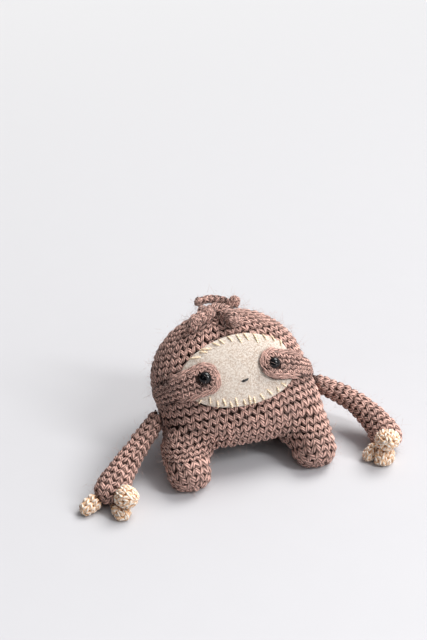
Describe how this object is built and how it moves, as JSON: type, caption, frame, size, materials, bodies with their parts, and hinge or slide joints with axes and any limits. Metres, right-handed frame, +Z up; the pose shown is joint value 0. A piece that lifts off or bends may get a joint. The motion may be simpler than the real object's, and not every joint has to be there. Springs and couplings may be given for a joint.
{
  "type": "crocheted toy sloth",
  "caption": "Small crocheted sloth toy that sits back on its seat, with long thin arms, stubby legs, a felt face, bead eyes, cream claws and a tuft of curls.",
  "frame": {"origin": "on the floor, under the middle of the toy's bounding box", "axes": "+Z up, the toy faces -Y, and +X points to the toy's own left"},
  "size_m": [0.164, 0.0798, 0.0719],
  "materials": {
    "brown_yarn": "matte",
    "cream_yarn": "matte",
    "oatmeal_felt": "matte",
    "black_bead": "gloss",
    "black_thread": "satin"
  },
  "bodies": {
    "root": {"head": "brown_yarn", "trunk": "brown_yarn", "leg_left": "brown_yarn", "leg_right": "brown_yarn", "arm_left": "brown_yarn", "arm_right": "brown_yarn", "claw_left_1": "cream_yarn", "claw_left_2": "cream_yarn", "claw_left_3": "cream_yarn", "claw_right_1": "cream_yarn", "claw_right_2": "cream_yarn", "claw_right_3": "cream_yarn", "face_felt": "oatmeal_felt", "nose_stitch": "black_thread", "eye_patch_left": "brown_yarn", "eye_patch_right": "brown_yarn", "eye_left": "black_bead", "eye_right": "black_bead", "hair_curl_1": "brown_yarn", "hair_curl_2": "brown_yarn", "hair_curl_3": "brown_yarn", "hair_curl_4": "brown_yarn"}
  },
  "joints": []
}
